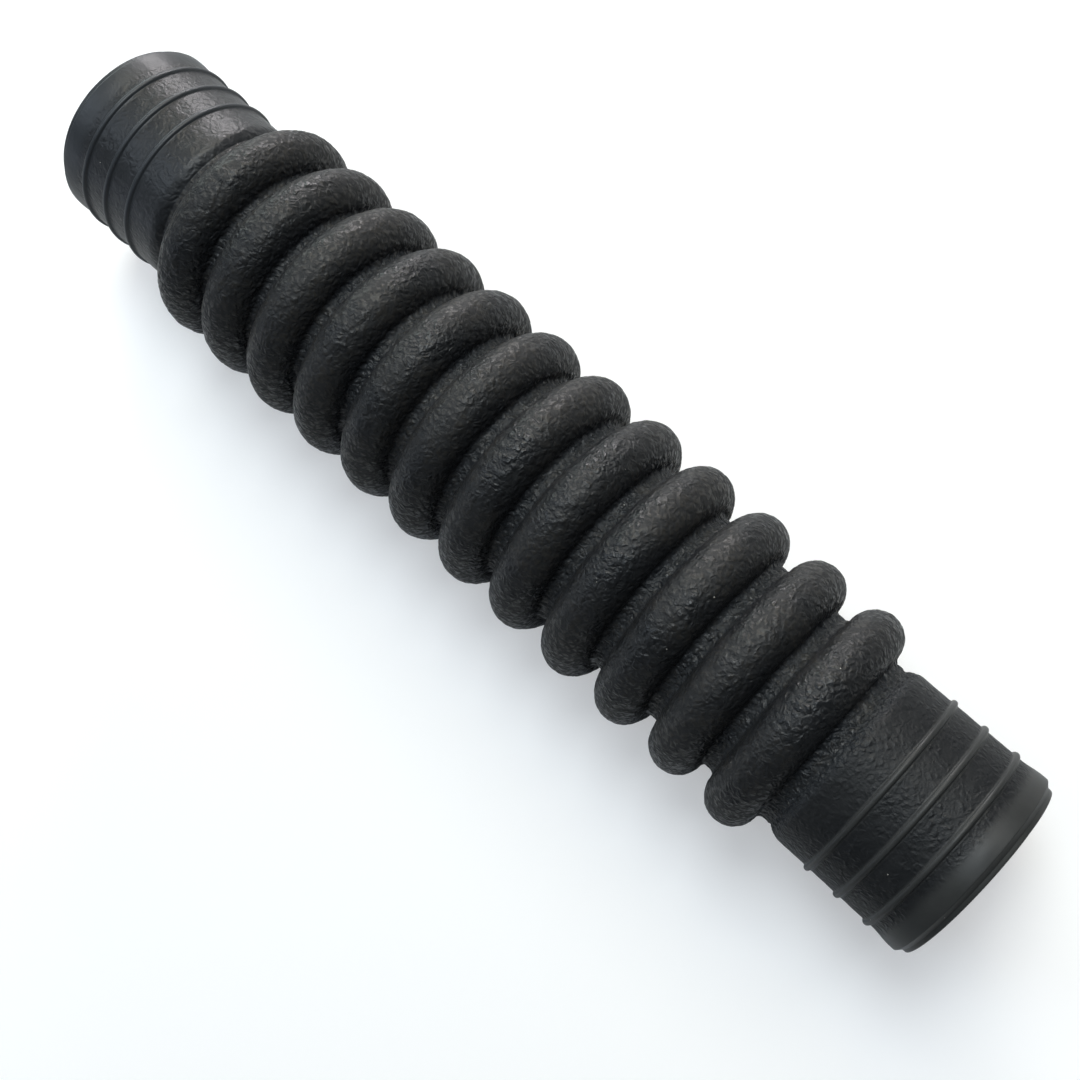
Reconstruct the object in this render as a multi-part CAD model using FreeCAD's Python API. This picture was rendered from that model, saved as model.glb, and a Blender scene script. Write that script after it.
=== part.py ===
import FreeCAD, Part
import math
import os

# A short moulded rubber suction hose: two plain cuffs with three thin rings each, and between them
# a bellows of twelve round, ring-shaped convolutions. The hose lies along X on the plane z = 0, with
# the origin under its middle. All sizes are in millimetres and all angles in degrees.

# Cuffs
cuff_bore = 38.0            # diameter of the socket that slips over a spigot
cuff_wall = 3.5             # whole wall of the cuff, both plies
cuff_tube_ply = 1.5         # inner ply of the cuff
cuff_length = 32.5          # from the end face to the start of the shoulder
shoulder_length = 3.3       # rounded step from the cuff down to the first valley
ring_count = 3              # thin rings that keep a hose clip in its place
first_ring = 9.4            # from the end face to the middle of the first ring
ring_spacing = 7.7
ring_width = 1.8
ring_height = 0.7
band_width = 6.1            # smooth end band, with the lip and the slope down to it
band_rise = 0.4             # how far the band stands out from the cuff
band_run_out = 0.8          # sloping run from the band down to the cuff
end_bevel = 1.0             # length of the slope from the band down to the lip
lip_length = 1.0            # narrower lip at the very end
lip_drop = 1.2              # from the band's surface down to the lip

# Bellows
convolutions = 12
pitch = 15.5
valley_diameter = 42.5      # outside, at the bottom of a valley
crest_depth = 7.0           # from the bottom of a valley to the top of a crest
crest_round = 6.2           # radius of the round back of a crest
end_valley = 3.0            # flat valley beside each cuff
valley_fillet = 0.5         # where a flank meets the bottom of a valley
bellows_wall = 2.8          # whole wall of the bellows, both plies
cover_ply = 1.5             # outer ply of a crest
mouth_round = 1.0           # rounded edge where a hollow crest opens to the bore
crest_angle = 50.0          # a crest piece reaches this far down each side of its round back
wire_diameter = 1.2         # spring-steel hoop between the two plies of a crest

# Fits
ply_gap = 0.05              # bond line between plies, and between ply and wire
web_gap = 0.10              # between a flexing web and the stiffer piece beside it
floor_flat = 0.5            # depth of the flat that each crest stands on

# Worked out from the sizes above
bore_r = cuff_bore / 2
cuff_r = bore_r + cuff_wall
cuff_ply_r = bore_r + cuff_tube_ply             # bond line inside a cuff
valley_r = valley_diameter / 2
inner_valley_r = valley_r - bellows_wall
crest_r = valley_r + crest_depth
back_r = crest_r - crest_round                  # distance of a round back's centre from the axis
hollow_round = crest_round - bellows_wall       # radius inside the hollow of a crest
ply_line = crest_round - cover_ply              # radius of the bond line inside a crest
wire_r = wire_diameter / 2
crest_places = [(i - (convolutions - 1) / 2) * pitch for i in range(convolutions)]
shoulder_root = crest_places[-1] + crest_round + end_valley
shoulder_top = shoulder_root + shoulder_length
half_length = shoulder_top + cuff_length
axis_height = crest_r - floor_flat

# A section is a list of edges in order, each (start, middle, end). The middle is None on a straight
# edge, and a point to pass through on an arc. X runs along the hose, Z is the distance from its axis.


def at(x, r):
    """A point of a section, x along the hose and r out from its axis."""
    return FreeCAD.Vector(x, 0, r)


def around(centre, radius, angle):
    """A point on a circle, with the angle turned from straight outwards to +X."""
    turn = math.radians(angle)
    return centre + at(radius * math.sin(turn), radius * math.cos(turn))


def arc(centre, radius, first, last):
    """An arc about a centre from one angle to another."""
    return tuple(around(centre, radius, angle) for angle in (first, (first + last) / 2, last))


def straight(start, end):
    return (start, None, end)


def backwards(edges):
    """The same edges walked from the last to the first."""
    return [(end, middle, start) for start, middle, end in reversed(edges)]


def flipped(point):
    """The same point at the other end of the hose."""
    return None if point is None else at(-point.x, point.z)


def mirrored(edges):
    """The same section at the other end of the hose."""
    return [tuple(flipped(point) for point in edge) for edge in edges]


def face_of(edges):
    """The face that edges enclose, with a straight line wherever one edge ends short of the next."""
    shapes = []
    for edge, following in zip(edges, edges[1:] + edges[:1]):
        start, middle, end = edge
        if middle is None:
            shapes.append(Part.LineSegment(start, end).toShape())
        else:
            shapes.append(Part.Arc(start, middle, end).toShape())
        if not end.isEqual(following[0], Part.Precision.confusion()):
            shapes.append(Part.LineSegment(end, following[0]).toShape())
    return Part.Face(Part.Wire(shapes))


def turned(face):
    """The solid that a section makes when it turns about the hose's axis, at its height over the floor."""
    solid = face.revolve(FreeCAD.Vector(0, 0, 0), FreeCAD.Vector(1, 0, 0), 360)
    solid.translate(FreeCAD.Vector(0, 0, axis_height))
    return solid


def disc(centre, radius):
    """A round face in the section plane."""
    circle = Part.Circle(centre, FreeCAD.Vector(0, 1, 0), radius)
    return Part.Face(Part.Wire([circle.toShape()]))


def gap_angle(radius):
    """The turn that takes a point on this radius half a web gap sideways."""
    return math.degrees(math.asin(web_gap / 2 / radius))


def crest_ply(x, inner, outer):
    """One ply of a crest's round back, grooved for the wire hoop."""
    centre = at(x, back_r)
    outer_end = crest_angle - gap_angle(outer)
    inner_end = crest_angle - gap_angle(inner)
    edges = [arc(centre, outer, -outer_end, outer_end), arc(centre, inner, inner_end, -inner_end)]
    groove = disc(around(centre, ply_line, 0), wire_r + ply_gap)
    return turned(face_of(edges).cut(groove))


def crest_cover(x):
    """The outer ply of a crest, with the flat that it stands on."""
    ply = crest_ply(x, ply_line + ply_gap / 2, crest_round)
    corner = FreeCAD.Vector(x - crest_round, -crest_r, -crest_r)
    return ply.cut(Part.makeBox(2 * crest_round, 2 * crest_r, crest_r, corner))


def crest_tube(x):
    """The inner ply of a crest."""
    return crest_ply(x, hollow_round, ply_line - ply_gap / 2)


def wire_hoop(x):
    """The closed wire ring between the two plies of a crest."""
    return turned(disc(around(at(x, back_r), ply_line, 0), wire_r))


def flank(x, side):
    """Outside and inside edges of a web on one side of the crest at x, each from the crest downwards."""
    centre = at(x, back_r)
    foot = at(x + side * (crest_round + valley_fillet), valley_r + valley_fillet)
    mouth = at(x + side * (hollow_round + mouth_round), inner_valley_r + mouth_round)
    outside = [
        arc(centre, crest_round, side * (crest_angle + gap_angle(crest_round)), side * 90),
        arc(foot, valley_fillet, -side * 90, -side * 180),
    ]
    inside = [
        arc(centre, hollow_round, side * (crest_angle + gap_angle(hollow_round)), side * 90),
        arc(mouth, mouth_round, -side * 90, -side * 180),
    ]
    return outside, inside


def valley_web(left, right):
    """The web between the crests at two places along the hose, both plies in one."""
    left_outside, left_inside = flank(left, 1)
    right_outside, right_inside = flank(right, -1)
    return face_of(left_outside + backwards(right_outside) + right_inside + backwards(left_inside))


def end_web():
    """Section of the web between the last crest and the shoulder of the +X cuff."""
    outside, inside = flank(crest_places[-1], 1)
    edge = shoulder_root - web_gap / 2
    return outside + [straight(at(edge, valley_r), at(edge, inner_valley_r))] + backwards(inside)


def ring_bump(x):
    """One thin ring of a cuff, as an arc that stands on the cuff's surface."""
    half = ring_width / 2
    return (at(x + half, cuff_r), at(x, cuff_r + ring_height), at(x - half, cuff_r))


def cuff_cover():
    """Section of the outer ply of the +X cuff, with its end band, thin rings and shoulder."""
    inside = cuff_ply_r + ply_gap / 2
    band_r = cuff_r + band_rise
    band_start = half_length - band_width
    root = shoulder_root + web_gap / 2
    lip_r = band_r - lip_drop
    lip_start = half_length - lip_length
    run_up, rise = shoulder_top - root, cuff_r - valley_r
    shoulder_r = (run_up ** 2 + rise ** 2) / (2 * rise)        # leaves the cuff without an edge
    half_way = math.asin(run_up / shoulder_r) / 2
    bend = at(shoulder_top - shoulder_r * math.sin(half_way),
              cuff_r - shoulder_r * (1 - math.cos(half_way)))
    edges = [
        straight(at(half_length, inside), at(half_length, lip_r)),
        straight(at(half_length, lip_r), at(lip_start, lip_r)),
        straight(at(lip_start - end_bevel, band_r), at(band_start, band_r)),
        straight(at(band_start, band_r), at(band_start - band_run_out, cuff_r)),
    ]
    edges += [ring_bump(half_length - first_ring - i * ring_spacing) for i in range(ring_count)]
    edges += [
        (at(shoulder_top, cuff_r), bend, at(root, valley_r)),
        straight(at(root, valley_r), at(root, inside)),
    ]
    return edges


def cuff_tube():
    """Section of the inner ply of the +X cuff, whose bore is the socket for a spigot."""
    root = shoulder_root + web_gap / 2
    outside = cuff_ply_r - ply_gap / 2
    return [
        straight(at(root, bore_r), at(root, outside)),
        straight(at(half_length, outside), at(half_length, bore_r)),
    ]


def all_pieces():
    """Every node of the hose by name, from the -X end to the +X end."""
    pieces = {}
    for name, edges in (("cuff_cover", cuff_cover()), ("cuff_tube", cuff_tube())):
        pieces[name + "_a"] = turned(face_of(mirrored(edges)))
        pieces[name + "_b"] = turned(face_of(edges))
    for number, x in enumerate(crest_places, start=1):
        pieces[f"crest_cover_{number:02d}"] = crest_cover(x)
        pieces[f"crest_tube_{number:02d}"] = crest_tube(x)
        pieces[f"wire_hoop_{number:02d}"] = wire_hoop(x)
    pieces["valley_web_00"] = turned(face_of(mirrored(end_web())))
    for number, (left, right) in enumerate(zip(crest_places, crest_places[1:]), start=1):
        pieces[f"valley_web_{number:02d}"] = turned(valley_web(left, right))
    pieces[f"valley_web_{convolutions:02d}"] = turned(face_of(end_web()))
    return pieces


os.makedirs("parts", exist_ok=True)
pieces = all_pieces()
for name, piece in pieces.items():
    if not piece.isValid() or len(piece.Solids) != 1:
        raise ValueError(f"{name} is not one sound solid")
    piece.Solids[0].exportStep(f"parts/{name}.step")
print(f"{len(pieces)} pieces, {2 * half_length:.2f} mm long, axis {axis_height:.2f} mm over the floor")
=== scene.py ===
import itertools
import math

import bpy
import numpy as np
from bpy.props import FloatProperty, FloatVectorProperty, IntProperty, PointerProperty
from mathutils import Matrix, Vector


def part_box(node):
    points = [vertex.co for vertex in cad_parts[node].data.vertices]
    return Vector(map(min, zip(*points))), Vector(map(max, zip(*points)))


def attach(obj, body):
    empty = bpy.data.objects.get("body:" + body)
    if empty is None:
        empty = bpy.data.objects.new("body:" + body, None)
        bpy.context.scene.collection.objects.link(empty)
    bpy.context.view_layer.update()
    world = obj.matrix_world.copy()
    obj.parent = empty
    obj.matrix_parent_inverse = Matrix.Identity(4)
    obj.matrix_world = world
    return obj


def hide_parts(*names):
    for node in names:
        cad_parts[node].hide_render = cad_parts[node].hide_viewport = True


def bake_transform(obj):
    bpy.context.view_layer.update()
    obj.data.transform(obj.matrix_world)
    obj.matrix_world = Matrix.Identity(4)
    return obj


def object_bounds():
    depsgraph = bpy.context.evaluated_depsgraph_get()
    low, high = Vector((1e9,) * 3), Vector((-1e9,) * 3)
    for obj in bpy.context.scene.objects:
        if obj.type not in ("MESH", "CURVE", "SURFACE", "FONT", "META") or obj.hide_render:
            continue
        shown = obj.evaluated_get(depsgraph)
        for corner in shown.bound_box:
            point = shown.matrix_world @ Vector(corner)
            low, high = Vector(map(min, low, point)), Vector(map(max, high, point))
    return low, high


bl_info = {
    "name": "Vacuum hose",
    "version": (1, 0, 0),
    "blender": (4, 5, 0),
    "location": "View3D > Sidebar > Vacuum hose",
    "description": "Moulded rubber suction hose with two ringed cuffs and twelve round convolutions",
    "category": "Add Mesh",
}

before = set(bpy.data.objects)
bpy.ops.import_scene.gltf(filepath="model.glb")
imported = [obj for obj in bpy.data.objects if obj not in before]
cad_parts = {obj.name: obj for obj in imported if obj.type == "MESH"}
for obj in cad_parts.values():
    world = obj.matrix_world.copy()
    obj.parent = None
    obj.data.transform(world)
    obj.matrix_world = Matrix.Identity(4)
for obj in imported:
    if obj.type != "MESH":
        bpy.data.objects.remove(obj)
cad_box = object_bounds()

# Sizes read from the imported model. X runs along the hose, and the floor is at z = 0.
CRESTS = sorted(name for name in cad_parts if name.startswith("crest_cover_"))
FIRST_CREST, LAST_CREST = (sum(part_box(name), Vector()) / 2 for name in (CRESTS[0], CRESTS[-1]))
CREST_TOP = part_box(CRESTS[0])[1].z
BORE_LOW, BORE_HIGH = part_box("cuff_tube_b")
AXIS_HEIGHT = (BORE_LOW.z + BORE_HIGH.z) / 2

MM = 0.001
LENGTH = {"unit": "LENGTH", "precision": 4}
FINE_LENGTH = {"unit": "LENGTH", "precision": 6}
COLOUR = {"subtype": "COLOR", "size": 3}


# Sizes and colours


class HoseSizes(bpy.types.PropertyGroup):
    """Sizes of the hose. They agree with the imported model, apart from thin trim."""

    pitch: FloatProperty(
        name="Pitch", description="From one crest to the next",
        default=(LAST_CREST.x - FIRST_CREST.x) / (len(CRESTS) - 1), **LENGTH)
    half_length: FloatProperty(
        name="Half length", description="From the middle of the hose to an end face", default=cad_box[1].x, **LENGTH)
    axis_height: FloatProperty(
        name="Axis height", description="Height of the hose's axis over the floor", default=AXIS_HEIGHT, **LENGTH)
    crest_radius: FloatProperty(
        name="Crest radius", description="From the axis to the top of a crest", default=CREST_TOP - AXIS_HEIGHT,
        **LENGTH)
    crest_round: FloatProperty(
        name="Crest round", description="Radius of the round back of a crest", default=0.0062, **LENGTH)
    crest_angle: FloatProperty(
        name="Crest angle", description="How far a crest piece reaches down each side of its round back",
        default=math.radians(50), subtype="ANGLE")
    valley_radius: FloatProperty(
        name="Valley radius", description="From the axis to the bottom of a valley", default=0.02125, **LENGTH)
    valley_fillet: FloatProperty(
        name="Valley fillet", description="Where a flank meets the bottom of a valley", default=0.001, **LENGTH)
    end_valley: FloatProperty(
        name="End valley", description="Flat valley beside each cuff", default=0.003, **LENGTH)
    bellows_wall: FloatProperty(
        name="Bellows wall", description="Whole wall of the bellows", default=0.0028, **LENGTH)
    cover_ply: FloatProperty(
        name="Cover ply", description="Outer ply of a crest", default=0.0015, **LENGTH)
    mouth_round: FloatProperty(
        name="Mouth round", description="Rounded edge where a hollow crest opens to the bore", default=0.001,
        **LENGTH)
    wire: FloatProperty(
        name="Wire", description="Diameter of the steel hoop inside a crest", default=0.0012, **LENGTH)
    bond: FloatProperty(
        name="Bond line", description="Room between the plies and round the wire", default=0.00005, **FINE_LENGTH)
    bore_radius: FloatProperty(
        name="Bore radius", description="Inside radius of a cuff", default=0.019, **LENGTH)
    cuff_radius: FloatProperty(
        name="Cuff radius", description="Outside radius of a cuff", default=0.0225, **LENGTH)
    cuff_tube_ply: FloatProperty(
        name="Cuff tube ply", description="Inner ply of a cuff", default=0.0015, **LENGTH)
    shoulder: FloatProperty(
        name="Shoulder", description="Length of the rounded step from a cuff down to the first valley",
        default=0.0033, **LENGTH)
    first_ring: FloatProperty(
        name="First ring", description="From an end face to the middle of its nearest thin ring", default=0.0094,
        **LENGTH)
    ring_spacing: FloatProperty(
        name="Ring spacing", description="From one thin ring to the next", default=0.0077, **LENGTH)
    ring_width: FloatProperty(
        name="Ring width", description="Width of a thin ring at its foot", default=0.00145, **FINE_LENGTH)
    ring_height: FloatProperty(
        name="Ring height", description="How far a thin ring stands out", default=0.00065, **FINE_LENGTH)
    band_width: FloatProperty(
        name="Band width", description="Width of the smooth end band, with its lip and slope", default=0.0061,
        **LENGTH)
    band_rise: FloatProperty(
        name="Band rise", description="How far the end band stands out", default=0.0004, **LENGTH)
    band_run_out: FloatProperty(
        name="Band run out", description="Slope from the end band down to the cuff", default=0.0019, **LENGTH)
    end_bevel: FloatProperty(
        name="End slope", description="Length of the slope from the band down to the lip", default=0.001, **LENGTH)
    lip_length: FloatProperty(
        name="Lip length", description="Length of the narrower lip at the very end", default=0.001, **LENGTH)
    lip_drop: FloatProperty(
        name="Lip drop", description="From the band's surface down to the lip", default=0.0012, **LENGTH)
    bore_edge: FloatProperty(
        name="Bore edge", description="Rounding of the edge where a spigot goes in", default=0.0004, **LENGTH)
    row_length: FloatProperty(
        name="Row length", description="Longest step of the outside mesh along the hose", default=0.00036,
        **FINE_LENGTH)
    hidden_row_length: FloatProperty(
        name="Inner row length", description="Longest step of the inside mesh along the hose", default=0.0009,
        **FINE_LENGTH)
    segments: IntProperty(name="Segments", description="Mesh steps round the hose", default=480)


class HoseGrain(bpy.types.PropertyGroup):
    """Moulded relief that stands in the mesh, and the size and depth of the finer grain of each finish."""

    wave_depth: FloatProperty(
        name="Wave depth", description="Depth of the slow unevenness all over the hose", default=0.0001,
        **FINE_LENGTH)
    wave_size: FloatProperty(name="Wave size", description="Length of one slow wave", default=0.007, **LENGTH)
    lump_depth: FloatProperty(
        name="Lump depth", description="Depth of the small lumps under the grain", default=0.0002, **FINE_LENGTH)
    lump_size: FloatProperty(name="Lump size", description="Size of one small lump", default=0.0022, **LENGTH)
    crease_depth: FloatProperty(
        name="Crease depth", description="Depth of the creases that wind over the bellows", default=0.0001,
        **FINE_LENGTH)
    crease_size: FloatProperty(
        name="Crease spacing", description="From one crease to the next", default=0.0018, **LENGTH)
    valley_depth: FloatProperty(
        name="Valley relief", description="Depth of the rough relief in the valleys", default=0.00025, **FINE_LENGTH)
    valley_grain: FloatProperty(
        name="Valley lump size", description="Size of one lump of the valley relief", default=0.0011, **LENGTH)
    crest_size: FloatProperty(
        name="Crest grain size", description="Size of one pebble of the leathery crest grain", default=0.0015,
        **LENGTH)
    crest_bump: FloatProperty(
        name="Crest grain depth", description="Depth of the leathery crest grain", default=0.00016, **FINE_LENGTH)
    fine_size: FloatProperty(
        name="Fine cuff grain size", description="Size of one pebble of the -X cuff's grain", default=0.0017,
        **LENGTH)
    fine_bump: FloatProperty(
        name="Fine cuff grain depth", description="Depth of the -X cuff's grain", default=0.00008, **FINE_LENGTH)
    coarse_size: FloatProperty(
        name="Coarse cuff grain size", description="Size of one pebble of the +X cuff's grain", default=0.0017,
        **LENGTH)
    coarse_bump: FloatProperty(
        name="Coarse cuff grain depth", description="Depth of the +X cuff's grain", default=0.00017, **FINE_LENGTH)
    tube_bump: FloatProperty(
        name="Tube grain depth", description="Depth of the inner ply's grain", default=0.00001, **FINE_LENGTH)
    seed: IntProperty(name="Seed", description="Start value of all the relief", default=7)


class HoseColours(bpy.types.PropertyGroup):
    """Colours of rubber, steel and stage."""

    rubber: FloatVectorProperty(
        name="Rubber", description="Colour of the black rubber", default=(0.0102, 0.0109, 0.0120), **COLOUR)
    bloom: FloatVectorProperty(
        name="Bloom", description="Colour of the pale film on the bellows", default=(0.038, 0.0342, 0.0288), **COLOUR)
    # Painted light: this pale bluish colour is laid over the valleys, and it colours the -X cuff's film and its
    # painted sheen.
    cool_film_and_painted_light: FloatVectorProperty(
        name="Cool film and painted light", description="Colour of the painted bluish light in the valleys, and of the film and painted sheen on the -X cuff",
        default=(0.026, 0.029, 0.033), **COLOUR)
    # Also the colour of the painted sheen on the +X cuff's rings and end band.
    cuff_film_and_sheen: FloatVectorProperty(
        name="Cuff film and painted sheen", description="Colour of the film and the painted sheen on the +X cuff, and of the film on the inner ply",
        default=(0.0345, 0.0352, 0.0345), **COLOUR)
    tube: FloatVectorProperty(
        name="Inner rubber", description="Colour of the inner ply", default=(0.011, 0.011, 0.0115), **COLOUR)
    dust: FloatVectorProperty(
        name="Dust", description="Colour of the dust specks", default=(0.42, 0.40, 0.36), **COLOUR)
    steel: FloatVectorProperty(
        name="Steel", description="Colour of the spring steel", default=(0.55, 0.55, 0.56), **COLOUR)
    floor: FloatVectorProperty(
        name="Floor", description="Colour of the floor", default=(0.62, 0.62, 0.62), **COLOUR)


# Noise in the mesh

NOISE_TABLE = 256               # entries of the shuffled table, a power of two
NOISE_SPREAD = 1.6              # takes the noise to about -1 to 1
DRIFT_SIZE = 0.55               # winding lines wander on waves of 1 / 0.55 of their spacing


def gradient_noise(places, seed):
    """Smooth noise from about -1 to 1 at each place of an (n, 3) array, with one bump to a unit."""
    random = np.random.default_rng(seed)
    order = random.permutation(NOISE_TABLE)
    slopes = random.normal(size=(NOISE_TABLE, 3))
    slopes /= np.linalg.norm(slopes, axis=1)[:, None]
    last = NOISE_TABLE - 1
    cell = np.floor(places).astype(np.int64)
    inside = places - cell
    ease = inside * inside * inside * (inside * (inside * 6 - 15) + 10)
    total = np.zeros(len(places))
    for corner in itertools.product((0, 1), repeat=3):
        at = (cell + corner) & last
        pick = order[(order[(order[at[:, 0]] + at[:, 1]) & last] + at[:, 2]) & last]
        weight = np.prod(np.where(corner, ease, 1 - ease), axis=1)
        total += weight * np.einsum("ij,ij->i", inside - corner, slopes[pick])
    return total * NOISE_SPREAD


def winding_lines(places, width, bend, seed):
    """One along the winding lines where a noise passes zero, and falling to nought beside them."""
    drift = np.stack([gradient_noise(places * DRIFT_SIZE, seed + k) for k in (1, 2, 3)], axis=1)
    crossing = gradient_noise(places + bend * drift, seed)
    return np.exp(-((crossing / width) ** 2))


def eased(value, low, high):
    """Nought below low, one above high, and a smooth rise between."""
    part = np.clip((value - low) / (high - low), 0, 1)
    return part * part * (3 - 2 * part)


# Profiles: lists of (x, r) along the hose and out from its axis

RING_FOOT = 1.1                 # a thin ring's run out reaches this far from its middle, in half widths
RING_SIDE = 0.9                 # and starts here, on the steep side of its half round
CURVE_POINTS = 17               # along the shoulder, and over a thin ring
RUN_OUT_POINTS = 14             # along the run out of the end band
LEVEL_BAND = 1.0 * MM           # the band is level over this length before its slope
SLOPE_ROUND = 0.3 * MM          # the band starts to round off this far before its slope
# The slope from the end band to the lip, and the lip with its rounded edge: shares of its length, and of the drop
END_SLOPE = ((-0.12, 0.01), (-0.03, 0.05), (0.06, 0.13), (0.35, 0.42), (0.65, 0.7), (0.93, 0.95), (1.0, 0.99))
END_LIP = ((0.1, 1.0), (0.5, 1.0), (0.8, 1.03), (0.93, 1.08), (1.0, 1.2))


def run(points, start, end, step):
    """Adds a straight run to a profile."""
    count = max(1, math.ceil(math.dist(start, end) / step))
    for k in range(count + 1):
        part = k / count
        join(points, (start[0] + (end[0] - start[0]) * part, start[1] + (end[1] - start[1]) * part))


def join(points, point):
    """Adds a point to a profile unless it is already the last one."""
    if not points or math.dist(points[-1], point) > 1e-9:
        points.append(point)


def bow(points, centre, radius, first, last, step):
    """Adds an arc, its angles turned from straight outwards to +X."""
    count = max(2, math.ceil(abs(last - first) * radius / step))
    for k in range(count + 1):
        turn = first + (last - first) * k / count
        join(points, (centre[0] + radius * math.sin(turn), centre[1] + radius * math.cos(turn)))


def half_web(sizes, step, inner):
    """From the edge of a crest piece at x = 0 down to the bottom of the valley on its +X side."""
    points = []
    centre = (0.0, sizes.crest_radius - sizes.crest_round)
    radius = sizes.crest_round - (sizes.bellows_wall if inner else 0)
    corner = sizes.mouth_round if inner else sizes.valley_fillet
    floor = sizes.valley_radius - (sizes.bellows_wall if inner else 0)
    lift = max(0.0, floor + corner - centre[1])
    tangent = math.acos(lift / (radius + corner))
    foot = ((radius + corner) * math.sin(tangent), floor + corner)
    bow(points, centre, radius, sizes.crest_angle, tangent, step)
    run(points, points[-1], (foot[0] - corner * math.sin(tangent), foot[1] - lift * corner / (radius + corner)), step)
    bow(points, foot, corner, tangent - math.pi, -math.pi, min(step, corner / 3))
    return points


def cuff_profile(sizes, step):
    """Outside of the +X cuff, from the shoulder's foot to the end face's inner edge."""
    points = []
    root = shoulder_root(sizes)
    rise = sizes.cuff_radius - sizes.valley_radius
    for part in np.linspace(0, 1, CURVE_POINTS) ** 1.5:
        join(points, (root + sizes.shoulder * part, sizes.valley_radius + rise * eased(part ** 0.5, 0, 1)))
    half = sizes.ring_width / 2
    for k in (2, 1, 0):
        middle = sizes.half_length - sizes.first_ring - k * sizes.ring_spacing
        run(points, points[-1], (middle - half * RING_FOOT, sizes.cuff_radius), step)
        for part in np.linspace(-RING_FOOT, RING_FOOT, CURVE_POINTS)[1:]:
            join(points, (middle + half * part, sizes.cuff_radius + sizes.ring_height * ring_bump(part)))
    high = sizes.cuff_radius + sizes.band_rise
    lip = sizes.half_length - sizes.lip_length
    edge = lip - sizes.end_bevel
    flare = sizes.half_length - sizes.band_width - sizes.band_run_out
    run(points, points[-1], (flare, sizes.cuff_radius), step)
    for part in np.linspace(0, 1, RUN_OUT_POINTS)[1:]:
        join(points, (flare + (edge - LEVEL_BAND - flare) * part,
                      sizes.cuff_radius + sizes.band_rise * eased(part, 0, 1)))
    run(points, points[-1], (edge - SLOPE_ROUND, high), step)
    for start, length, outline in ((edge, sizes.end_bevel, END_SLOPE), (lip, sizes.lip_length, END_LIP)):
        for along, down in outline:
            join(points, (start + along * length, high - down * sizes.lip_drop))
    return points


def ring_bump(part):
    """Height of a thin ring from 0 to 1: half round, with a small run out at its foot."""
    flat = abs(part)
    if flat < RING_SIDE:
        return math.sqrt(1 - flat * flat)
    return math.sqrt(1 - RING_SIDE ** 2) * ((RING_FOOT - flat) / (RING_FOOT - RING_SIDE)) ** 2


def shoulder_root(sizes):
    """Where the last valley meets the +X cuff."""
    return crest_places(sizes)[-1] + sizes.crest_round + sizes.end_valley


def crest_places(sizes):
    """Places of the crests along the hose."""
    count = len(CRESTS)
    return [(k - (count - 1) / 2) * sizes.pitch for k in range(count)]


def valley_places(sizes):
    """Places of the valleys' middles along the hose, the two end valleys included."""
    crests = crest_places(sizes)
    end = shoulder_root(sizes) - sizes.end_valley / 2
    return [-end] + [(a + b) / 2 for a, b in zip(crests, crests[1:])] + [end]


def web_cuts(sizes):
    """Where each web is cut in two: over its hinge, but before it in the last web, so that the +X cuff can swing."""
    places = valley_places(sizes)
    return places[:-1] + [places[-1] - sizes.end_valley / 2]


def turned_over(points):
    """The same profile at the other end of the hose, walked so that x still rises."""
    return [(-x, r) for x, r in reversed(points)]


# Rows of points round the hose


class Skin:
    """The outside of the whole hose, or the inside of its bellows, as a grid of rows that pieces are cut from."""

    def __init__(self, sizes, grain, inner):
        self.sizes = sizes
        self.marks = {"start": 0}
        self.profile = []
        step = sizes.hidden_row_length if inner else sizes.row_length
        radius = sizes.crest_round - (sizes.bellows_wall if inner else 0)
        floor = sizes.valley_radius - (sizes.bellows_wall if inner else 0)
        valleys, root = valley_places(sizes), shoulder_root(sizes)
        web = half_web(sizes, step, inner)
        cuff = [] if inner else cuff_profile(sizes, step)
        self.follow(turned_over(cuff))
        self.follow([(-root, floor)])
        self.mark("root_a")
        self.level((valleys[0], floor), step)
        for k, crest in enumerate(crest_places(sizes)):
            self.level((crest - web[-1][0], floor), step)
            self.follow(turned_over(web), crest)
            self.mark(f"left_{k}")
            bow(self.profile, (crest, sizes.crest_radius - sizes.crest_round), radius,
                -sizes.crest_angle, sizes.crest_angle, step)
            self.mark(f"right_{k}")
            self.follow(web, crest)
            self.level((valleys[k + 1], floor), step)
        self.level((root, floor), step)
        self.mark("root_b")
        self.follow(cuff)
        self.mark("finish")
        along = np.array(self.profile)[:, 0]
        for k, cut in enumerate(web_cuts(sizes)):
            self.marks[f"cut_{k}"] = int(np.argmin(np.abs(along - cut)))
        self.turn(grain, inner)

    def follow(self, points, shift=0.0):
        """Adds points to the profile, moved along the hose."""
        for x, r in points:
            join(self.profile, (shift + x, r))

    def level(self, end, step):
        """Adds a straight run from the last point."""
        run(self.profile, self.profile[-1], end, step)

    def mark(self, name):
        """Keeps the number of the last row under a name."""
        self.marks[name] = len(self.profile) - 1

    def turn(self, grain, inner):
        """Turns the profile about the axis, cuts the relief into an outside, and works out the normals."""
        x, r = np.array(self.profile).T
        self.rows = self.rest = rings(x, r, self.sizes, self.sizes.axis_height)
        self.finish = np.zeros((*self.rest.shape[:2], 2))
        if not inner:
            depth = relief(self, grain, x, r)
            self.rows = self.rest - rings(*leftwards(x, r), self.sizes, 0.0) * depth[..., None]
            self.rows[..., 2] = np.maximum(self.rows[..., 2], 0.0)
        self.normals = grid_normals(self.rows) * (-1 if inner else 1)

    def between(self, first, last):
        """The strip from one named row to another."""
        part = slice(self.marks[first], self.marks[last] + 1)
        return Strip(self.rows[part], self.normals[part], self.rest[part], self.finish[part])


class Strip:
    """Rows of points round the hose, with their normals, their places without relief, and their finish.

    The finish of a point is its share of grain and its share of valley.
    """

    def __init__(self, rows, normals, rest, finish):
        self.rows, self.normals, self.rest, self.finish = rows, normals, rest, finish

    def backwards(self):
        return Strip(self.rows[::-1], self.normals[::-1], self.rest[::-1], self.finish[::-1])


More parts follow.
